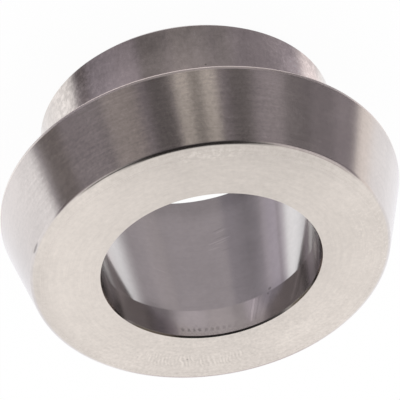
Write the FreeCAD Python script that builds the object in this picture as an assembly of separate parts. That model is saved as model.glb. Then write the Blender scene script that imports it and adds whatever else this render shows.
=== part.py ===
import FreeCAD
import Part
import math
import os

# A weld-on liner of a dairy screw coupling, nominal bore 20 mm, turned from one
# piece of stainless bar. It stands on its weld end. The origin is the centre of
# the weld-end face, +Z runs along the axis to the sealing face. Millimetres.

# Overall
TOTAL_LENGTH = 17.7
# Weld end, a butt weld to a 26.9 x 1.6 pipe
WELD_END_DIAMETER = 26.9
WELD_END_WALL = 1.6
WELD_BEVEL = 0.6
WELD_BEVEL_LIMIT = 0.6  # share of the wall that the bevel may take
# Collar, a cone that centres in the mating seat, with the nut shoulder behind it
COLLAR_DIAMETER = 36.5
COLLAR_HEIGHT = 8.0
CONE_HALF_ANGLE = 15.0
RIM_BAND = 0.45
RIM_EDGE_RADIUS = 0.12
FACE_EDGE_RADIUS = 1.0
SHOULDER_ROOT_RADIUS = 1.0
# Bore, a short straight land at the sealing face that opens to the pipe's bore
FACE_BORE_DIAMETER = 20.0
FACE_BORE_EDGE_BREAK = 0.2
BORE_LAND_DEPTH = 3.15


def rz(radius, height):
    """A point of the half section: radius from the axis, height above the weld end."""
    return FreeCAD.Vector(radius, 0, height)


def corner_arc(before, corner, after, radius):
    """Tangent points and middle of the arc that rounds one corner of the section."""
    to_before = (before - corner).normalize()
    to_after = (after - corner).normalize()
    half_angle = to_before.getAngle(to_after) / 2
    reach = radius / math.tan(half_angle)
    bisector = (to_before + to_after).normalize()
    centre = corner + bisector * (radius / math.sin(half_angle))
    start = corner + to_before * reach
    end = corner + to_after * reach
    middle = centre - bisector * radius
    return start, middle, end


def half_section():
    """Corners of the liner's half section with the radius that rounds each one."""
    weld_r = WELD_END_DIAMETER / 2
    weld_bore_r = weld_r - WELD_END_WALL
    bevel = min(WELD_BEVEL, WELD_BEVEL_LIMIT * WELD_END_WALL)
    collar_r = COLLAR_DIAMETER / 2
    face_bore_r = FACE_BORE_DIAMETER / 2
    top = TOTAL_LENGTH
    shoulder_z = top - COLLAR_HEIGHT
    cone_start_z = shoulder_z + RIM_BAND
    cone_rise = top - cone_start_z
    cone_top_r = collar_r - cone_rise * math.tan(math.radians(CONE_HALF_ANGLE))
    return [
        (rz(weld_bore_r, 0), 0),
        (rz(weld_r - bevel, 0), 0),
        (rz(weld_r, bevel), 0),
        (rz(weld_r, shoulder_z), SHOULDER_ROOT_RADIUS),
        (rz(collar_r, shoulder_z), RIM_EDGE_RADIUS),
        (rz(collar_r, cone_start_z), RIM_EDGE_RADIUS),
        (rz(cone_top_r, top), FACE_EDGE_RADIUS),
        (rz(face_bore_r + FACE_BORE_EDGE_BREAK, top), 0),
        (rz(face_bore_r, top - FACE_BORE_EDGE_BREAK), 0),
        (rz(face_bore_r, top - BORE_LAND_DEPTH), 0),
    ]


def section_face(corners):
    """Straight runs between the corners, joined by tangent arcs where one is rounded."""
    runs = []
    for i, (corner, radius) in enumerate(corners):
        before = corners[i - 1][0]
        after = corners[(i + 1) % len(corners)][0]
        if radius:
            start, middle, end = corner_arc(before, corner, after, radius)
            runs.append((start, middle, end))
        else:
            runs.append((corner, None, corner))
    edges = []
    for i, (start, middle, end) in enumerate(runs):
        if middle:
            edges.append(Part.Arc(start, middle, end).toShape())
        next_start = runs[(i + 1) % len(runs)][0]
        edges.append(Part.LineSegment(end, next_start).toShape())
    return Part.Face(Part.Wire(edges))


def liner():
    """The turned liner: its half section taken once round the axis."""
    axis_point = FreeCAD.Vector(0, 0, 0)
    axis_direction = FreeCAD.Vector(0, 0, 1)
    return section_face(half_section()).revolve(axis_point, axis_direction, 360)


def save(name, shape):
    """Write one STEP file after checking that the shape is one valid solid."""
    solid = shape.Solids[0]
    if len(shape.Solids) != 1 or not solid.isValid():
        raise ValueError(name + " is not one valid solid")
    box = solid.optimalBoundingBox(False, False)
    print(name, "size", round(box.XLength, 3), round(box.YLength, 3), round(box.ZLength, 3))
    print(name, "volume in cubic millimetres", round(solid.Volume, 1))
    solid.exportStep("parts/" + name + ".step")


os.makedirs("parts", exist_ok=True)
save("weld_liner", liner())
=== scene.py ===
import math

import bpy
from mathutils import Matrix, Vector


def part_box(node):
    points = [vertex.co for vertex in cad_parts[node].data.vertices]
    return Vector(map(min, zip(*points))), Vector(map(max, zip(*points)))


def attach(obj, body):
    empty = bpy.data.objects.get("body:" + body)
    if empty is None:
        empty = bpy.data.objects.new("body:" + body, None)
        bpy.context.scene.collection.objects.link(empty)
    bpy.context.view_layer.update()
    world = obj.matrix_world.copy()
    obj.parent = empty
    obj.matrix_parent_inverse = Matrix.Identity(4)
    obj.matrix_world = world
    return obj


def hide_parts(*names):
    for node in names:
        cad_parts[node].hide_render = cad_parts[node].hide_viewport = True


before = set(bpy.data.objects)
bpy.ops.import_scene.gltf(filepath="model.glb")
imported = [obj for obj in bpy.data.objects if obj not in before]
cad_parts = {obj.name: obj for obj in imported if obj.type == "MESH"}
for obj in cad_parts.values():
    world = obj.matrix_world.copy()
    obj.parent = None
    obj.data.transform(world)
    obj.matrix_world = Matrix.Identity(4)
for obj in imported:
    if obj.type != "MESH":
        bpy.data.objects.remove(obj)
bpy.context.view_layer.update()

# A turned stainless weld-on liner. It stands on its weld end, and +Z runs up its
# axis to the sealing face. Metres, with the small sizes given in millimetres.

NODE = "weld_liner"
MM = 0.001

# Overall sizes, from the CAD solid
CAD_LOW, CAD_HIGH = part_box(NODE)
TOTAL_LENGTH = CAD_HIGH.z - CAD_LOW.z
COLLAR_RADIUS = min(CAD_HIGH.x, CAD_HIGH.y, -CAD_LOW.x, -CAD_LOW.y)

# Sizes of the section that the box doesn't give
TUBE_RADIUS = 13.45 * MM
TUBE_BORE_RADIUS = 11.85 * MM
WELD_BEVEL = 0.6 * MM
COLLAR_HEIGHT = 8.0 * MM
CONE_HALF_ANGLE = math.radians(15)
RIM_BAND = 0.45 * MM
RIM_EDGE_RADIUS = 0.12 * MM
RIM_WORN_RADIUS = 0.28 * MM
FACE_EDGE_RADIUS = 1.0 * MM
SHOULDER_ROOT_RADIUS = 1.0 * MM
FACE_BORE_RADIUS = 10.0 * MM
BORE_EDGE_WIDTH = 0.10 * MM
BORE_EDGE_DEPTH = 0.19 * MM
BORE_LAND_DEPTH = 3.15 * MM

# Mesh. Rings close to both ends of a run hold the corners, but not on a short run.
SEGMENTS = 512
HOLD_LOOP = 0.04 * MM
SHORT_RUN = 0.16 * MM
LOOP_SPACING = 0.8 * MM
ARC_STEPS = 20
SMALL_ARC_STEPS = 8
SMALL_ARC = 0.3 * MM
STAGE_SEGMENTS = 96

# A nick where the cone meets the round front edge: degrees from -Y, and millimetres
NICK_ANGLE = 67.9
NICK_HEIGHT = 17.02
NICK_HALF_LENGTH = 0.85
NICK_HALF_WIDTH = 0.19
NICK_DEPTH = 0.06

# Camera, fitted to the photo: lens and sensor in millimetres, and where the middle of the
# face lies from it
IMAGE_LENS = 540
SENSOR_WIDTH = 36
CLIP_START = 10 * MM
CAMERA_ELEVATION = math.radians(39.73)
CAMERA_ROLL = math.radians(169.85)
FACE_DEPTH = 539.31 * MM
FACE_RIGHT = 1.063 * MM
FACE_DOWN = 6.005 * MM

# Studio. A span of degrees is (from, to, softness).
WHITE = (1.0, 1.0, 1.0)
STUDIO_WHITE = (1.05, 1.05, 1.05)
ALL_ROUND = (-181, 181, 1)
DIM_ROOM = (-95, 88, 6)
DIM_ROOM_TOP = (-4, 0)
ROOM_CLUTTER = 0.35
CLUTTER_SCALE = 0.13
CLUTTER_STRETCH = 0.15
FLOOR_RADIUS = 3.0
FLOOR_GAP = 0.02 * MM
FLOOR_SHADOW_SHARE = 0.04

# The sheet of light under the bore, with the places where it is lit in millimetres
VEIL_LEVEL = 0.16
VEIL_TINT = (1.05, 1.0, 1.09)
VEIL_MIDDLE = (-6.0, 6.0, 1.2)
VEIL_NEAR_WALL = (-2.5, -5.5)
VEIL_FAR_WALL = (9.3, 10.9)
VEIL_FAR_SHARE = 0.62

# Steel, linear: the part's, the honed bore's, the share that the bore reflects at grazing
# angles, and the dark brown on the bore's edge
STEEL = (0.655, 0.600, 0.557)
BORE_STEEL = (0.640, 0.600, 0.575)
BORE_GRAZING_TINT = (0.80, 0.80, 0.80, 1.0)
EDGE_BROWN = (0.130, 0.108, 0.085)


def corner_arc(before, corner, after, radius, steps):
    """Points of the tangent arc that rounds one corner of the section."""
    to_before = (before - corner).normalized()
    to_after = (after - corner).normalized()
    half_angle = to_before.angle(to_after) / 2
    reach = radius / math.tan(half_angle)
    bisector = (to_before + to_after).normalized()
    centre = corner + bisector * (radius / math.sin(half_angle))
    start = corner + to_before * reach - centre
    end = corner + to_after * reach - centre
    turn = start.angle_signed(end)
    points = []
    for i in range(steps + 1):
        angle = -turn * i / steps
        rotated = Matrix.Rotation(angle, 2) @ start
        points.append(centre + rotated)
    return points


def half_section():
    """Corners as (radius, height), the radius that rounds each, and the finish on its arc and after it."""
    top = TOTAL_LENGTH
    shoulder = top - COLLAR_HEIGHT
    cone_start = shoulder + RIM_BAND
    cone_top = COLLAR_RADIUS - (top - cone_start) * math.tan(CONE_HALF_ANGLE)
    return [
        (Vector((TUBE_BORE_RADIUS, 0)), 0, None, "turned_end"),
        (Vector((TUBE_RADIUS - WELD_BEVEL, 0)), 0, None, "turned_end"),
        (Vector((TUBE_RADIUS, WELD_BEVEL)), 0, None, "tube"),
        (Vector((TUBE_RADIUS, shoulder)), SHOULDER_ROOT_RADIUS, "turned_end", "turned_end"),
        (Vector((COLLAR_RADIUS, shoulder)), RIM_WORN_RADIUS, "rim", "rim"),
        (Vector((COLLAR_RADIUS, cone_start)), RIM_EDGE_RADIUS, "rim", "cone"),
        (Vector((cone_top, top)), FACE_EDGE_RADIUS, "face", "face"),
        (Vector((FACE_BORE_RADIUS + BORE_EDGE_WIDTH, top)), 0, None, "bore"),
        (Vector((FACE_BORE_RADIUS, top - BORE_EDGE_DEPTH)), 0, None, "bore"),
        (Vector((FACE_BORE_RADIUS, top - BORE_LAND_DEPTH)), 0, None, "bore"),
    ]


def section_rings():
    """Rings of the lathe in order: (radius, height), the finish after it, and whether it is crisp."""
    corners = half_section()
    runs = []
    for i, row in enumerate(corners):
        corner, radius = row[:2]
        before = corners[i - 1][0]
        after = corners[(i + 1) % len(corners)][0]
        if radius:
            steps = SMALL_ARC_STEPS if radius < SMALL_ARC else ARC_STEPS
            points = corner_arc(before, corner, after, radius, steps)
        else:
            points = [corner]
        runs.append(points)
    rings = []
    for i, points in enumerate(runs):
        arc_finish, finish = corners[i][2:]
        crisp = len(points) == 1
        for point in points[:-1]:
            rings.append((point, arc_finish, False))
        rings.append((points[-1], finish, crisp))
        end = points[-1]
        next_start = runs[(i + 1) % len(runs)][0]
        run = next_start - end
        if run.length > SHORT_RUN:
            step = run.normalized() * HOLD_LOOP
            rings.append((end + step, finish, False))
            count = math.ceil(run.length / LOOP_SPACING)
            for k in range(1, count):
                rings.append((end + run * k / count, finish, False))
            rings.append((next_start - step, finish, False))
    return rings


def nick_offset(point):
    """How far a point of the skin is pushed in by the nick."""
    turn = math.atan2(point.x, -point.y) - math.radians(NICK_ANGLE)
    radius = math.hypot(point.x, point.y)
    along = turn * radius / MM / NICK_HALF_LENGTH
    across = (point.z / MM - NICK_HEIGHT) / NICK_HALF_WIDTH
    inside = 1 - along * along - across * across
    if inside <= 0:
        return Vector((0, 0, 0))
    outward = Vector((point.x, point.y, 0)).normalized()
    return -outward * NICK_DEPTH * MM * inside


def liner_mesh(finishes):
    """The turned liner: the rings of its half section taken once round the axis."""
    rings = section_rings()
    vertices = []
    for point, finish, crisp in rings:
        for k in range(SEGMENTS):
            angle = 2 * math.pi * k / SEGMENTS
            place = Vector((point.x * math.sin(angle), -point.x * math.cos(angle), point.y))
            vertices.append(place + nick_offset(place))
    faces = []
    slots = []
    for i, (point, finish, crisp) in enumerate(rings):
        low = i * SEGMENTS
        high = ((i + 1) % len(rings)) * SEGMENTS
        for k in range(SEGMENTS):
            after = (k + 1) % SEGMENTS
            faces.append((low + k, low + after, high + after, high + k))
            slots.append(finishes.index(finish))
    mesh = bpy.data.meshes.new("liner")
    mesh.from_pydata(vertices, [], faces)
    mesh.polygons.foreach_set("material_index", slots)
    mesh.polygons.foreach_set("use_smooth", [True] * len(faces))
    crisp_rings = {i for i, ring in enumerate(rings) if ring[2]}
    for edge in mesh.edges:
        a, b = (v // SEGMENTS for v in edge.vertices)
        if a == b and a in crisp_rings:
            edge.use_edge_sharp = True
    mesh.validate()
    mesh.update()
    return mesh


class Graph:
    """Adds nodes to one shader tree. An input is a number, a tuple or another node's output."""

    def __init__(self, tree):
        self.tree = tree
        tree.nodes.clear()

    def node(self, kind, settings=None, **inputs):
        """Adds one node with its settings and feeds its inputs by name."""
        made = self.tree.nodes.new(kind)
        for name, value in (settings or {}).items():
            setattr(made, name, value)
        for name, value in inputs.items():
            self.feed(made.inputs[name.replace("_", " ")], value)
        return made

    def feed(self, socket, value):
        """Links an output to the socket, or sets the socket to a number or a tuple."""
        if isinstance(value, bpy.types.NodeSocket):
            self.tree.links.new(value, socket)
        elif isinstance(value, (tuple, list)) and len(value) == 3 and socket.type == "RGBA":
            socket.default_value = (*value, 1)
        else:
            socket.default_value = value

    def math(self, operation, a, b=0.0, c=0.0):
        made = self.node("ShaderNodeMath", {"operation": operation})
        for socket, value in zip(made.inputs, (a, b, c)):
            self.feed(socket, value)
        return made.outputs[0]

    def vector(self, operation, a, b=(0, 0, 0)):
        made = self.node("ShaderNodeVectorMath", {"operation": operation})
        self.feed(made.inputs[0], a)
        self.feed(made.inputs[1], b)
        return made.outputs["Value" if operation in ("LENGTH", "DISTANCE") else "Vector"]

    def ramp(self, value, low, high, start=0.0, end=1.0):
        """Smooth step of value from low to high, given out as start to end."""
        made = self.node("ShaderNodeMapRange", {"interpolation_type": "SMOOTHSTEP"})
        for socket, entry in zip(made.inputs, (value, low, high, start, end)):
            self.feed(socket, entry)
        return made.outputs[0]

    def noise(self, vector, scale, detail=2.0, roughness=0.6):
        """Smooth noise from about 0 to 1."""
        made = self.node("ShaderNodeTexNoise", Vector=vector, Scale=scale, Detail=detail, Roughness=roughness)
        return made.outputs["Fac"]

    def scaled(self, color, factor):
        """A colour times a factor that may vary."""
        made = self.node("ShaderNodeVectorMath", {"operation": "SCALE"})
        self.feed(made.inputs[0], color)
        self.feed(made.inputs["Scale"], factor)
        return made.outputs["Vector"]

    def blend(self, factor, a, b):
        """Colour a at factor 0 and b at factor 1."""
        made = self.node("ShaderNodeMix", {"data_type": "RGBA"})
        self.feed(made.inputs[0], factor)
        self.feed(made.inputs[6], a)
        self.feed(made.inputs[7], b)
        return made.outputs[2]

    def combine(self, x, y, z):
        made = self.node("ShaderNodeCombineXYZ", X=x, Y=y, Z=z)
        return made.outputs[0]

    def split(self, vector):
        made = self.node("ShaderNodeSeparateXYZ", Vector=vector)
        return made.outputs

    def product(self, *factors):
        """All the factors multiplied together."""
        result = factors[0]
        for factor in factors[1:]:
            result = self.math("MULTIPLY", result, factor)
        return result

    def band(self, value, low, high, soft):
        """1 between low and high, 0 outside, with soft edges."""
        rise = self.ramp(value, low - soft, low + soft)
        fall = self.ramp(value, high - soft, high + soft, 1.0, 0.0)
        return self.math("MULTIPLY", rise, fall)


class SteelGraph(Graph):
    """A metal material with the lathe's coordinates: radius, height and angle, in millimetres and degrees."""

    def __init__(self, name):
        self.material = bpy.data.materials.new(name)
        self.material.use_nodes = True
        super().__init__(self.material.node_tree)
        place = self.node("ShaderNodeTexCoord").outputs["Object"]
        self.place = self.vector("MULTIPLY", place, (1 / MM, 1 / MM, 1 / MM))
        x, y, z = self.split(self.place)
        self.along_x = x
        self.along_y = y
        self.height = z
        self.radius = self.vector("LENGTH", self.combine(x, y, 0.0))
        self.unit = self.vector("NORMALIZE", self.combine(x, y, 0.0))
        # angle counts from -Y and side from +Y, and both grow towards +X
        self.angle = self.math("DEGREES", self.math("ARCTAN2", x, self.math("MULTIPLY", y, -1.0)))
        self.side = self.math("DEGREES", self.math("ARCTAN2", x, y))

    def lathe_noise(self, value, along, around, detail=3.0, roughness=0.6):
        """Seamless noise that changes by `along` per millimetre of value and by `around` across the part."""
        ux, uy = self.split(self.unit)[:2]
        a = self.math("MULTIPLY", ux, around)
        b = self.math("MULTIPLY", uy, around)
        c = self.math("MULTIPLY", value, along)
        return self.noise(self.combine(a, b, c), 1.0, detail, roughness)

    def face_zone(self, angles, radii):
        """1 within a sector of the face and 0 outside, with soft edges."""
        return self.product(self.band(self.angle, *angles), self.band(self.radius, *radii))

    def spot(self, place, size, soft):
        """1 within size of a point, in millimetres, and 0 beyond size + soft."""
        distance = self.vector("DISTANCE", self.place, place)
        return self.ramp(distance, size, size + soft, 1.0, 0.0)

    def shade(self, level, *layers):
        """The level, with each (pattern, strength) layer added about its middle value."""
        for pattern, strength in layers:
            level = self.math("MULTIPLY_ADD", self.math("SUBTRACT", pattern, 0.5), strength, level)
        return level

    def marked(self, level, *marks):
        """The level, changed by each (mask, strength) mark."""
        for mask, strength in marks:
            level = self.math("MULTIPLY_ADD", mask, strength, level)
        return level

    def toned(self, level, value, tones):
        """The level, changed in sectors of angle by a strength that may vary with value."""
        for angles, span, strengths in tones:
            sector = self.band(self.angle, *angles)
            strength = self.ramp(value, *span, *strengths)
            level = self.math("MULTIPLY_ADD", sector, strength, level)
        return level

    def scratch(self, angle, half_length, height, slope):
        """A fine straight scratch on the far side of the bore."""
        turn = self.math("SUBTRACT", self.side, angle)
        middle = self.math("MULTIPLY_ADD", turn, slope, height)
        off = self.math("ABSOLUTE", self.math("SUBTRACT", self.height, middle))
        line = self.ramp(off, *SCRATCH_FADE, 1.0, 0.0)
        return self.product(line, self.band(turn, -half_length, half_length, SCRATCH_END))

    def land_streak(self, angle, lean, half_width):
        """A soft streak up the straight part of the bore that leans over by some degrees a millimetre."""
        up = self.math("SUBTRACT", self.height, STREAK_MIDDLE)
        turn = self.math("MULTIPLY_ADD", up, -lean, self.math("SUBTRACT", self.side, angle))
        off = self.math("ABSOLUTE", turn)
        in_land = self.band(self.height, *STREAK_HEIGHTS)
        return self.product(self.ramp(off, 0.3 * half_width, 1.6 * half_width, 1.0, 0.0), in_land)

    def nick(self):
        """1 in the nick and 0 around it."""
        turn = self.math("RADIANS", self.math("SUBTRACT", self.angle, NICK_ANGLE))
        along = self.math("DIVIDE", self.math("MULTIPLY", turn, self.radius), NICK_HALF_LENGTH)
        across = self.math("DIVIDE", self.math("SUBTRACT", self.height, NICK_HEIGHT), NICK_HALF_WIDTH)
        reach = self.vector("LENGTH", self.combine(along, across, 0.0))
        return self.ramp(reach, 0.5, 1.1, 1.0, 0.0)

    def finish(self, color, roughness, bump, bump_depth, anisotropy=0.0, turn=0.0, grazing=None):
        """Joins the metal shader to the output. The bump's depth is in metres."""
        shader = self.node("ShaderNodeBsdfPrincipled", Metallic=1.0)
        if grazing:
            shader.inputs["Specular Tint"].default_value = grazing
        self.feed(shader.inputs["Base Color"], color)
        self.feed(shader.inputs["Roughness"], roughness)
        bumps = self.node("ShaderNodeBump", Strength=1.0, Distance=bump_depth, Height=bump)
        self.feed(shader.inputs["Normal"], bumps.outputs[0])
        if anisotropy:
            tangent = self.node("ShaderNodeTangent", {"direction_type": "RADIAL", "axis": "Z"})
            self.feed(shader.inputs["Tangent"], tangent.outputs[0])
            shader.inputs["Anisotropic"].default_value = anisotropy
            shader.inputs["Anisotropic Rotation"].default_value = turn
        output = self.node("ShaderNodeOutputMaterial")
        self.tree.links.new(shader.outputs[0], output.inputs[0])
        return self.material


# Dark specks, in millimetres: on the face by angle from -Y and radius, on the tube as a point
FACE_SPECK = (163.7, 13.14)
TUBE_SPECK = (-2.64, -13.19, 5.32)

# Chatter marks on the face: angles from +Y and radii, with their softness
CHATTER_ANGLES = (-9.0, 36.0, 7.0)
CHATTER_RADII = (12.7, 14.2, 0.5)

# Zones of the face: angles from -Y and radii, with their softness
FACE_STREAKS = ((-16.0, 3.0, 3.0), (14.9, 15.9, 0.3))
FACE_FLECKS = ((-112.0, -62.0, 14.0), (13.2, 16.4, 0.6))
FACE_BRIGHT = ((-162.0, -136.0, 10.0), (12.3, 14.0, 0.6))

# The face's level in its middle, and how it grows per millimetre along X and Y: painted light and shade,
# lighter towards +Y and +X
FACE_LEVEL = 0.960
FACE_PAINTED_LIGHT_X = 0.0023
FACE_PAINTED_LIGHT_Y = 0.0038
FACE_PAINTED_LIGHT_XX = 0.00055
FACE_PAINTED_LIGHT_XY = -0.0003

# Sectors of the cone with stronger marks, and of the tube with blotches
BUSY_CONE = (-25.0, 52.0, 14.0)
LEFT_BLOTCHES = (-75.0, -42.0, 10.0)
RIGHT_BLOTCHES = (32.0, 58.0, 8.0)

# Changes of tone, partly uneven finish and partly painted light and shade. Each has its angles from -Y
# with their softness, a span of radii on the face or of heights on the cone and the tube, and the
# change before and after that span. Where both changes are the same, the span doesn't matter.
FACE_FINISH_AND_PAINTED_LIGHT = [
    ((62.0, 122.0, 18.0), (13.6, 16.2), (0.0, -0.14)),
    ((-76.0, -48.0, 12.0), (10.0, 18.0), (0.04, 0.04)),
    ((-125.0, -85.0, 12.0), (10.0, 18.0), (-0.03, -0.03)),
    ((22.0, 70.0, 12.0), (10.0, 18.0), (0.025, 0.025)),
    (ALL_ROUND, (14.7, 15.6), (0.0, -0.03)),
]
CONE_FINISH_AND_PAINTED_LIGHT = [
    ((60.0, 95.0, 4.0), (10.5, 16.5), (0.07, -0.04)),
    ((-12.0, 5.0, 3.0), (10.5, 16.5), (0.10, -0.05)),
    ((-40.0, -24.0, 3.0), (11.2, 13.4), (0.0, -0.11)),
    ((-95.0, -79.0, 3.0), (10.5, 16.5), (0.06, 0.06)),
]
TUBE_FINISH_AND_PAINTED_LIGHT = [
    ((-17.0, 48.0, 8.0), (1.2, 5.6), (-0.17, 0.13)),
    ((-60.0, -36.0, 6.0), (0.0, 9.0), (0.11, 0.11)),
    ((-78.0, -49.0, 5.0), (1.0, 3.2), (0.0, 0.24)),
    ((-60.0, -44.0, 4.0), (1.5, 3.5), (0.0, 0.08)),
    ((-20.0, -12.0, 4.0), (0.0, 9.0), (-0.10, -0.10)),
    ((18.0, 36.0, 4.0), (0.0, 9.0), (0.05, 0.05)),
]

# Scratches in the bore: angle from +Y and half length in degrees, height in millimetres, slope
# and strength. A scratch fades across a span of millimetres and at its ends over some degrees.
SCRATCH_FADE = (0.03, 0.09)
SCRATCH_END = 1.2
BORE_SCRATCHES = [
    (-6.1, 5.3, 5.80, 0.046, 0.17),
    (-6.6, 3.2, 6.08, 0.041, 0.14),
    (-5.8, 2.6, 5.45, 0.050, -0.12),
    (-5.7, 2.5, 4.36, 0.066, -0.14),
    (-6.9, 2.2, 4.62, 0.060, 0.12),
    (-2.8, 3.0, 6.70, 0.032, 0.10),
    (-8.7, 2.3, 7.15, 0.013, -0.10),
    (26.0, 4.0, 9.30, -0.080, 0.08),
]

# Streaks in the straight part of the bore: angle from +Y at the middle height, lean, half
# width and strength. The heights have a softness.
STREAK_MIDDLE = 15.6
STREAK_HEIGHTS = (14.6, 17.0, 0.15)
LAND_STREAKS = [
    (-17.6, 1.7, 0.6, 0.22),
    (-20.4, 1.9, 0.5, -0.14),
    (-25.7, 2.7, 1.6, 0.12),
    (-47.0, 4.3, 1.0, 0.22),
    (-51.0, 4.3, 1.2, -0.16),
]

# Marks at the foot of the bore's straight part: angle from +Y, height, size in millimetres and strength
LAND_MARKS = [
    (-29.0, 14.25, 0.12, -0.35),
    (-27.6, 14.75, 0.07, -0.25),
    (-31.0, 13.9, 0.06, -0.20),
]

# A row of tool marks under the bore's edge, and the parts of the edge that are stained
# brown: angles from +Y and heights, with their softness. The marks grow between two angles
# from a share to their full strength.
TOOL_MARK_ANGLES = (-9.0, 23.0, 2.0)
TOOL_MARK_HEIGHTS = (16.64, 16.98, 0.10)
TOOL_MARK_GROWTH = (-12.0, 14.0, 0.25, 1.0)
BROWN_LEFT = (19.0, 54.0, 6.0)
BROWN_RIGHT = (-59.0, -39.0, 4.0)


def on_face(angle, radius):
    """A point of the sealing face, in millimetres, by its angle from -Y and its radius."""
    turn = math.radians(angle)
    return (radius * math.sin(turn), -radius * math.cos(turn), TOTAL_LENGTH / MM)


def on_land(angle, height):
    """A point of the bore's straight part, in millimetres, by its angle from +Y."""
    turn = math.radians(angle)
    radius = FACE_BORE_RADIUS / MM
    return (radius * math.sin(turn), radius * math.cos(turn), height)


def face_chatter(g):
    """Slanted waves in one stretch of the face, with gaps: 1 on a crest, -1 in a trough and 0 around."""
    drift = g.noise(g.place, scale=0.45, roughness=0.5)
    gaps = g.noise(g.place, scale=1.1)
    wave = g.math("MULTIPLY_ADD", drift, 22.0, g.math("MULTIPLY", g.radius, 3.4))
    wave = g.math("MULTIPLY_ADD", g.side, 4.2, wave)
    zone = g.product(
        g.band(g.side, *CHATTER_ANGLES),
        g.band(g.radius, *CHATTER_RADII),
        g.ramp(gaps, 0.38, 0.62),
    )
    return g.math("MULTIPLY", g.math("SINE", wave), zone)


def face_steel():
    """Fine-turned satin face with rings, chatter marks, faint smudges, flecks and one dark speck."""
    g = SteelGraph("steel_face")
    rings = g.lathe_noise(g.radius, along=9.0, around=1.2)
    strokes = g.lathe_noise(g.radius, along=3.0, around=9.0)
    flecks = g.lathe_noise(g.radius, along=4.0, around=40.0, detail=2.0)
    smudge = g.noise(g.place, scale=0.22, detail=3.0, roughness=0.55)
    grain = g.noise(g.place, scale=2.2, detail=3.0, roughness=0.65)
    coarse = g.noise(g.place, scale=3.6)
    chatter = face_chatter(g)
    speck = g.spot(on_face(*FACE_SPECK), 0.05, 0.09)
    # painted light and shade: the whole face slowly lighter towards +Y and +X
    painted_light_x = g.math("MULTIPLY_ADD", g.along_x, FACE_PAINTED_LIGHT_XX, FACE_PAINTED_LIGHT_X)
    painted_light_x = g.math("MULTIPLY_ADD", g.along_y, FACE_PAINTED_LIGHT_XY, painted_light_x)
    tone = g.math("MULTIPLY_ADD", g.along_y, FACE_PAINTED_LIGHT_Y, FACE_LEVEL)
    tone = g.math("MULTIPLY_ADD", g.along_x, painted_light_x, tone)
    # the coarse grain is stronger towards +Y
    coarse_share = g.math("MULTIPLY_ADD", g.ramp(g.along_y, 2.0, 12.0), 0.34, 0.05)
    # the sectors of tone are partly uneven finish and partly painted light and shade
    light = g.shade(
        g.toned(tone, g.radius, FACE_FINISH_AND_PAINTED_LIGHT),
        (smudge, 0.16),
        (rings, 0.12),
        (grain, 0.22),
        (strokes, 0.17),
        (coarse, coarse_share),
    )
    light = g.marked(
        light,
        (chatter, 0.12),
        (g.product(g.ramp(grain, 0.45, 0.62), g.face_zone(*FACE_STREAKS)), 0.09),
        (g.product(g.ramp(flecks, 0.5, 0.7), g.face_zone(*FACE_FLECKS)), 0.09),
        (g.face_zone(*FACE_BRIGHT), 0.06),
        (speck, -0.35),
        # the nick is painted darker: painted shade in the dent
        (g.nick(), -0.45),
    )
    # smoother towards the round edge
    satin = g.math("MULTIPLY_ADD", smudge, 0.10, 0.27)
    roughness = g.math("MULTIPLY_ADD", g.ramp(g.radius, 15.1, 16.0), -0.17, satin)
    bump = g.math("MULTIPLY_ADD", chatter, 0.25, rings)
    return g.finish(g.scaled(STEEL, light), roughness, bump, 0.0012 * MM)


def cone_steel():
    """Polished cone with fine grooves round the axis that blur reflections along it."""
    g = SteelGraph("steel_cone")
    grooves = g.lathe_noise(g.height, along=14.0, around=2.0, detail=4.0, roughness=0.65)
    lines = g.lathe_noise(g.height, along=5.0, around=7.0)
    cloud = g.noise(g.place, scale=0.30, detail=3.0)
    grain = g.noise(g.place, scale=3.0, detail=3.0, roughness=0.65)
    uneven = g.noise(g.place, scale=3.2)
    # lines and grain are stronger in one sector
    busy = g.math("MULTIPLY_ADD", g.band(g.angle, *BUSY_CONE), 1.3, 1.0)
    grain_share = g.math("MULTIPLY", busy, 0.21)
    line_share = g.math("MULTIPLY", busy, 0.13)
    # the sectors of tone are partly uneven finish and partly painted light and shade
    light = g.shade(
        g.toned(1.0, g.height, CONE_FINISH_AND_PAINTED_LIGHT),
        (cloud, 0.14),
        (grooves, line_share),
        (lines, line_share),
        (grain, grain_share),
    )
    # the nick is painted darker: painted shade in the dent
    light = g.marked(light, (g.nick(), -0.45))
    roughness = g.math("MULTIPLY_ADD", cloud, 0.08, 0.17)
    bump = g.math("MULTIPLY_ADD", uneven, 2.2, grooves)
    return g.finish(g.scaled(STEEL, light), roughness, bump, 0.0007 * MM, anisotropy=0.75, turn=0.25)


def rim_steel():
    """The worn, rounded edge along the widest part, its base lighter all along as a painted highlight."""
    g = SteelGraph("steel_rim")
    wear = g.noise(g.place, scale=0.8, detail=3.0)
    # the base is 1.3 times the steel: a painted highlight along the edge, with real wear in it
    light = g.shade(1.30, (wear, 0.30))
    roughness = g.math("MULTIPLY_ADD", wear, 0.15, 0.26)
    return g.finish(g.scaled(STEEL, light), roughness, wear, 0.001 * MM)


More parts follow.
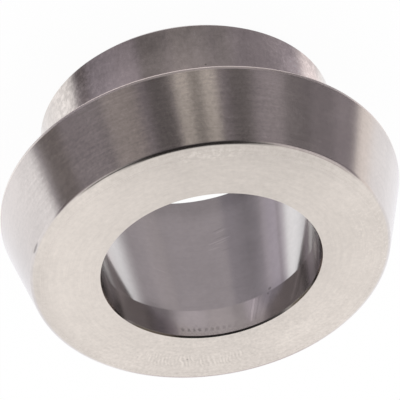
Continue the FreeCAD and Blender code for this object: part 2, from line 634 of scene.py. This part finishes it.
def tube_steel():
    """Tube skin, polished but mottled, with one dark speck."""
    g = SteelGraph("steel_tube")
    mottle = g.noise(g.place, scale=0.55, detail=4.0, roughness=0.65)
    pickled = g.noise(g.place, scale=2.1, detail=3.0, roughness=0.7)
    grain = g.lathe_noise(g.height, along=1.2, around=60.0)
    left_blotches = g.product(g.ramp(pickled, 0.45, 0.68), g.band(g.angle, *LEFT_BLOTCHES))
    right_blotches = g.product(g.ramp(pickled, 0.42, 0.62), g.band(g.angle, *RIGHT_BLOTCHES))
    # the sectors of tone are partly uneven finish and partly painted light and shade
    light = g.shade(
        g.toned(1.01, g.height, TUBE_FINISH_AND_PAINTED_LIGHT),
        (mottle, 0.50),
        (pickled, 0.40),
        (grain, 0.28),
    )
    light = g.marked(
        light,
        (left_blotches, 0.28),
        (right_blotches, 0.20),
        (g.spot(TUBE_SPECK, 0.05, 0.10), -0.5),
    )
    roughness = g.math("MULTIPLY_ADD", mottle, 0.12, 0.10)
    return g.finish(g.scaled(STEEL, light), roughness, mottle, 0.0015 * MM)


def bore_tool_marks(g, fine):
    """A row of short marks under the bore's edge, stronger towards +X."""
    wave = g.math("MULTIPLY_ADD", fine, 6.0, g.math("MULTIPLY", g.side, 2.0))
    return g.product(
        g.ramp(g.math("SINE", wave), -0.4, 0.6),
        g.band(g.side, *TOOL_MARK_ANGLES),
        g.band(g.height, *TOOL_MARK_HEIGHTS),
        g.ramp(g.side, *TOOL_MARK_GROWTH),
    )


def bore_edge_browning(g):
    """Brown on the bore's edge break: a full stain in the brown parts and a weaker darkening all round."""
    edge_start = (TOTAL_LENGTH - BORE_EDGE_DEPTH) / MM
    on_edge = g.ramp(g.height, edge_start - 0.01, edge_start + 0.02)
    browned = g.math("MAXIMUM", g.band(g.side, *BROWN_LEFT), g.band(g.side, *BROWN_RIGHT))
    return g.math("MULTIPLY", on_edge, g.math("MULTIPLY_ADD", browned, 0.65, 0.35))


def bore_steel():
    """Honed bore: nearly a mirror, with faint lines round it, a few scratches and a row of tool marks."""
    g = SteelGraph("steel_bore")
    lines = g.lathe_noise(g.height, along=10.0, around=3.0)
    cloud = g.noise(g.place, scale=0.35, detail=3.0)
    fine = g.noise(g.place, scale=2.4, detail=3.0, roughness=0.65)
    light = g.shade(1.0, (cloud, 0.16), (lines, 0.12), (fine, 0.14))
    for angle, half_length, height, slope, strength in BORE_SCRATCHES:
        light = g.marked(light, (g.scratch(angle, half_length, height, slope), strength))
    for angle, lean, half_width, strength in LAND_STREAKS:
        light = g.marked(light, (g.land_streak(angle, lean, half_width), strength))
    for angle, height, size, strength in LAND_MARKS:
        light = g.marked(light, (g.spot(on_land(angle, height), size, size), strength))
    light = g.marked(light, (bore_tool_marks(g, fine), -0.30))
    color = g.blend(bore_edge_browning(g), g.scaled(BORE_STEEL, light), EDGE_BROWN)
    roughness = g.math("MULTIPLY_ADD", cloud, 0.06, 0.095)
    return g.finish(color, roughness, lines, 0.0002 * MM, grazing=BORE_GRAZING_TINT)


def end_steel():
    """Turned shoulder, weld end and its bevel."""
    g = SteelGraph("steel_turned_end")
    rings = g.lathe_noise(g.radius, along=11.0, around=1.0)
    cloud = g.noise(g.place, scale=0.4, detail=3.0)
    light = g.shade(1.0, (cloud, 0.12))
    roughness = g.math("MULTIPLY_ADD", cloud, 0.10, 0.26)
    return g.finish(g.scaled(STEEL, light), roughness, rings, 0.0015 * MM)


def build_liner():
    """The dressed liner, which stands for the CAD solid."""
    materials = {
        "turned_end": end_steel(),
        "tube": tube_steel(),
        "rim": rim_steel(),
        "cone": cone_steel(),
        "face": face_steel(),
        "bore": bore_steel(),
    }
    mesh = liner_mesh(list(materials))
    for material in materials.values():
        mesh.materials.append(material)
    liner = bpy.data.objects.new("liner", mesh)
    bpy.context.scene.collection.objects.link(liner)
    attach(liner, "root")
    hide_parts(NODE)


# What the metal sees. Each panel has its azimuths with their softness, its elevations with
# theirs, and its level and tint. Azimuth 0 is towards the camera and +90 is +X, in degrees.
# Later panels lie over earlier ones, and what no panel covers is white.
VIOLET = (1.10, 1.00, 1.14)
NEUTRAL = (1.08, 1.00, 1.04)
OLIVE = (1.06, 1.00, 0.95)
EARTH = (1.10, 1.00, 1.00)
RUST = (1.16, 1.00, 1.01)
WARM = (1.05, 1.00, 0.99)
COOL = (1.07, 1.00, 1.08)
BLUISH = (1.07, 1.00, 1.19)
DAYLIGHT = (0.985, 1.00, 1.055)
SKYLIGHT = (0.96, 1.00, 1.04)
SIDES = (-40, 4, 4)
LOW = (-34, -6, 2.5)
UNDER_TUBE = (-47, -34, 1.5)
UNDER_LAND = (-40, -34, 0.7)
UNDER_BORE = (-62, -46, 1.5)
DEEP = (-62, -50.5, 0.8)
PANELS = [
    # daylight from the sides and behind, a grey strip straight behind, and the dim room in front
    (ALL_ROUND, SIDES, 1.04, DAYLIGHT),
    ((-181, -160, 10), SIDES, 1.12, DAYLIGHT),
    ((160, 181, 10), SIDES, 1.12, DAYLIGHT),
    ((-181, -172, 4), (-14, 12, 4), 0.72, NEUTRAL),
    ((172, 181, 4), (-14, 12, 4), 0.72, NEUTRAL),
    ((-117, -100, 5), SIDES, 0.92, WARM),
    ((-104, 89.5, 3.5), (-95, 3, 4), 0.225, VIOLET),
    # the white paper under the part, dimmer towards the camera
    (ALL_ROUND, (-95, -62, 4), 1.05, NEUTRAL),
    ((-72, 58, 12), (-95, -62, 4), 0.62, NEUTRAL),
    # low in the room: what the cone shows
    ((-88, -72, 3), LOW, 0.157, VIOLET),
    ((-72, -54, 3), LOW, 0.104, VIOLET),
    ((-54, -40, 2.5), LOW, 0.248, VIOLET),
    ((-38, -25, 3), LOW, 0.136, NEUTRAL),
    ((-19, -10.5, 2), LOW, 0.650, OLIVE),
    ((-10.5, -5, 1.5), LOW, 0.300, OLIVE),
    ((-5, 3, 1.5), LOW, 0.630, OLIVE),
    ((4.6, 17, 2), LOW, 0.115, NEUTRAL),
    ((23, 42, 3.5), LOW, 0.315, EARTH),
    ((42, 47, 1.5), LOW, 0.140, VIOLET),
    ((47, 69, 2), LOW, 0.190, VIOLET),
    ((69, 85, 2), LOW, 0.105, RUST),
    # lower: what the tube shows
    ((-140, -106, 8), UNDER_TUBE, 0.85, NEUTRAL),
    ((-113, 90, 11), UNDER_TUBE, 0.258, VIOLET),
    ((-110, -62, 7), UNDER_TUBE, 0.300, VIOLET),
    ((-46, -31, 5), UNDER_TUBE, 0.215, NEUTRAL),
    ((-30, 4, 4), UNDER_TUBE, 0.274, NEUTRAL),
    ((6, 28, 3), UNDER_TUBE, 0.188, NEUTRAL),
    ((31, 60, 3), UNDER_TUBE, 0.334, VIOLET),
    ((76, 87, 3), UNDER_TUBE, 0.120, RUST),
    ((-97, -58, 6), (-47.6, -44.6, 0.5), 0.070, NEUTRAL),
    # the same height, further back: what the straight part of the bore shows
    ((-90, 88, 4), UNDER_LAND, 0.215, COOL),
    ((-52, -14, 7), UNDER_LAND, 0.365, COOL),
    ((-14, 13, 7), UNDER_LAND, 0.300, NEUTRAL),
    ((14, 27, 5), UNDER_LAND, 0.195, NEUTRAL),
    ((27, 46, 4), UNDER_LAND, 0.300, VIOLET),
    ((46, 88, 6), UNDER_LAND, 0.255, BLUISH),
    # lowest: what the rest of the bore shows
    (ALL_ROUND, UNDER_BORE, 0.97, SKYLIGHT),
    ((-101, 181, 15), UNDER_BORE, 0.226, COOL),
    ((-69, -48, 6), UNDER_BORE, 0.262, NEUTRAL),
    ((20, 62, 4), (-62, -51.4, 0.6), 0.135, BLUISH),
    ((33, 63, 5), (-62, -51.4, 0.6), 0.095, BLUISH),
    ((42, 56, 4), (-62, -51.4, 0.6), 0.055, BLUISH),
    ((38, 66, 8), (-51.2, -46, 0.6), 0.290, BLUISH),
    ((66, 181, 6), UNDER_BORE, 0.340, BLUISH),
    ((82.5, 85.5, 1), UNDER_BORE, 0.200, VIOLET),
    ((92, 181, 7), UNDER_BORE, 1.04, SKYLIGHT),
    ((-181, -97, 8), DEEP, 0.28, COOL),
    ((-80, -50, 12), (-52, -50.8, 0.4), 0.330, COOL),
    ((-80, -46, 4), (-62, -54.2, 0.4), 0.040, NEUTRAL),
    ((-79, -62, 4), (-62, -52.8, 0.4), 0.120, NEUTRAL),
    ((43, 62, 4), (-62, -54.0, 0.4), 0.020, NEUTRAL),
    ((62, 79, 4), (-62, -52.6, 0.4), 0.160, NEUTRAL),
    ((90, 181, 6), (-62, -50.2, 0.6), 0.34, NEUTRAL),
    ((20, 46, 5), (-49.2, -46.4, 0.6), 0.060, NEUTRAL),
    ((-95, -50, 6), (-47.4, -45.0, 0.5), 0.070, NEUTRAL),
    # the dark front of the camera and its stand, with paler gaps beside it
    ((-95, -38, 10), (-7, 1, 2), 0.75, NEUTRAL),
    ((26, 80, 10), (-7, 0, 2), 0.50, NEUTRAL),
    ((-100, -40, 8), (8.5, 19, 3), 0.620, NEUTRAL),
    ((-45, 68, 8), (8.5, 19, 3), 0.050, NEUTRAL),
    ((-40, 38, 16), (-4, 32, 5), 0.030, NEUTRAL),
]


def build_world():
    """White all round for the camera and the floor. The metal also sees the dim room."""
    world = bpy.data.worlds.new("studio")
    bpy.context.scene.world = world
    world.use_nodes = True
    world.cycles.sampling_method = "NONE"
    g = Graph(world.node_tree)
    x, y, z = g.split(g.node("ShaderNodeTexCoord").outputs["Generated"])
    azimuth = g.math("DEGREES", g.math("ARCTAN2", x, g.math("MULTIPLY", y, -1.0)))
    elevation = g.math("DEGREES", g.math("ARCSINE", z))
    color = STUDIO_WHITE
    for azimuths, elevations, level, tint in PANELS:
        inside = g.math("MULTIPLY", g.band(azimuth, *azimuths), g.band(elevation, *elevations))
        color = g.blend(inside, color, tuple(level * part for part in tint))
    # upright strips of uneven light in the low part of the dim room
    strips = g.combine(azimuth, g.math("MULTIPLY", elevation, CLUTTER_STRETCH), 0.0)
    clutter = g.noise(strips, CLUTTER_SCALE, detail=3.0)
    dim = g.math("MULTIPLY", g.band(azimuth, *DIM_ROOM), g.ramp(elevation, *DIM_ROOM_TOP, 1.0, 0.0))
    uneven = g.math("MULTIPLY", g.math("SUBTRACT", clutter, 0.5), ROOM_CLUTTER)
    color = g.scaled(color, g.math("MULTIPLY_ADD", uneven, dim, 1.0))
    path = g.node("ShaderNodeLightPath")
    seen_in_metal = path.outputs["Is Glossy Ray"]
    shown = g.blend(seen_in_metal, WHITE, color)
    background = g.node("ShaderNodeBackground", Color=shown, Strength=1.0)
    output = g.node("ShaderNodeOutputWorld")
    g.tree.links.new(background.outputs[0], output.inputs[0])


def stage_object(name, mesh, material):
    """A piece of the stage, which isn't part of the object."""
    mesh.materials.append(material)
    made = bpy.data.objects.new(name, mesh)
    bpy.context.scene.collection.objects.link(made)
    return made


def floor_material():
    """White paper: mostly its own white, with a share that takes the object's shadow."""
    material = bpy.data.materials.new("floor_paper")
    material.use_nodes = True
    g = Graph(material.node_tree)
    glow = g.node("ShaderNodeEmission", Color=WHITE, Strength=1.0)
    paper = g.node("ShaderNodeBsdfDiffuse", Color=WHITE)
    mixed = g.node("ShaderNodeMixShader")
    g.feed(mixed.inputs[0], FLOOR_SHADOW_SHARE)
    g.tree.links.new(glow.outputs[0], mixed.inputs[1])
    g.tree.links.new(paper.outputs[0], mixed.inputs[2])
    output = g.node("ShaderNodeOutputMaterial")
    g.tree.links.new(mixed.outputs[0], output.inputs[0])
    return material


def veil_material():
    """A clear sheet that glows where light falls through the bore onto the ground."""
    material = bpy.data.materials.new("veil")
    material.use_nodes = True
    g = Graph(material.node_tree)
    place = g.vector("MULTIPLY", g.node("ShaderNodeTexCoord").outputs["Object"], (1 / MM, 1 / MM, 1 / MM))
    x, y = g.split(place)[:2]
    middle = g.band(x, *VEIL_MIDDLE)
    near_wall = g.ramp(y, *VEIL_NEAR_WALL)
    far_wall = g.ramp(y, *VEIL_FAR_WALL, 1.0, VEIL_FAR_SHARE)
    lit = g.math("MULTIPLY", g.math("MAXIMUM", middle, near_wall), far_wall)
    glow = g.node("ShaderNodeEmission", Color=VEIL_TINT)
    g.feed(glow.inputs["Strength"], g.math("MULTIPLY", lit, VEIL_LEVEL))
    clear = g.node("ShaderNodeBsdfTransparent")
    both = g.node("ShaderNodeAddShader")
    g.tree.links.new(glow.outputs[0], both.inputs[0])
    g.tree.links.new(clear.outputs[0], both.inputs[1])
    output = g.node("ShaderNodeOutputMaterial")
    g.tree.links.new(both.outputs[0], output.inputs[0])
    return material


def circle(radius, height):
    """Points of a level circle round the axis."""
    points = []
    for k in range(STAGE_SEGMENTS):
        angle = 2 * math.pi * k / STAGE_SEGMENTS
        points.append((radius * math.cos(angle), radius * math.sin(angle), height))
    return points


def ring_mesh(name, inner, outer, height):
    """A flat sheet at one height, with a round hole, or a full disc where inner is 0."""
    vertices = circle(outer, height)
    faces = [tuple(range(STAGE_SEGMENTS))]
    if inner:
        vertices += circle(inner, height)
        faces = []
        for k in range(STAGE_SEGMENTS):
            after = (k + 1) % STAGE_SEGMENTS
            faces.append((k, after, STAGE_SEGMENTS + after, STAGE_SEGMENTS + k))
    mesh = bpy.data.meshes.new(name)
    mesh.from_pydata(vertices, [], faces)
    mesh.update()
    return mesh


def seen_by_metal_only(stage_piece):
    """Hides a piece of the stage from all rays but the metal's reflections."""
    stage_piece.visible_camera = False
    stage_piece.visible_diffuse = False
    stage_piece.visible_shadow = False
    stage_piece.visible_transmission = False


def build_stage():
    """A pale floor, open under the bore, and the glow under the bore that only the metal sees."""
    floor = stage_object(
        "floor",
        ring_mesh("floor", TUBE_BORE_RADIUS, FLOOR_RADIUS, -FLOOR_GAP),
        floor_material(),
    )
    floor.visible_glossy = False
    veil = stage_object(
        "veil",
        ring_mesh("veil", 0, TUBE_BORE_RADIUS, -2 * FLOOR_GAP),
        veil_material(),
    )
    seen_by_metal_only(veil)


def build_camera():
    """The camera of the photo: it looks down on the face and is rolled nearly upside down."""
    back = Vector((0, -math.cos(CAMERA_ELEVATION), math.sin(CAMERA_ELEVATION)))
    level_right = Vector((1, 0, 0))
    level_up = back.cross(level_right)
    right = math.cos(CAMERA_ROLL) * level_right + math.sin(CAMERA_ROLL) * level_up
    up = math.cos(CAMERA_ROLL) * level_up - math.sin(CAMERA_ROLL) * level_right
    face_centre = Vector((0, 0, TOTAL_LENGTH))
    place = face_centre - right * FACE_RIGHT + up * FACE_DOWN + back * FACE_DEPTH
    data = bpy.data.cameras.new("camera")
    data.lens = IMAGE_LENS
    data.sensor_width = SENSOR_WIDTH
    data.clip_start = CLIP_START
    camera = bpy.data.objects.new("camera", data)
    bpy.context.scene.collection.objects.link(camera)
    axes = Matrix((right, up, back)).transposed()
    camera.matrix_world = Matrix.Translation(place) @ axes.to_4x4()
    bpy.context.scene.camera = camera


build_liner()
build_world()
build_stage()
build_camera()
bpy.context.scene.view_settings.view_transform = "Standard"
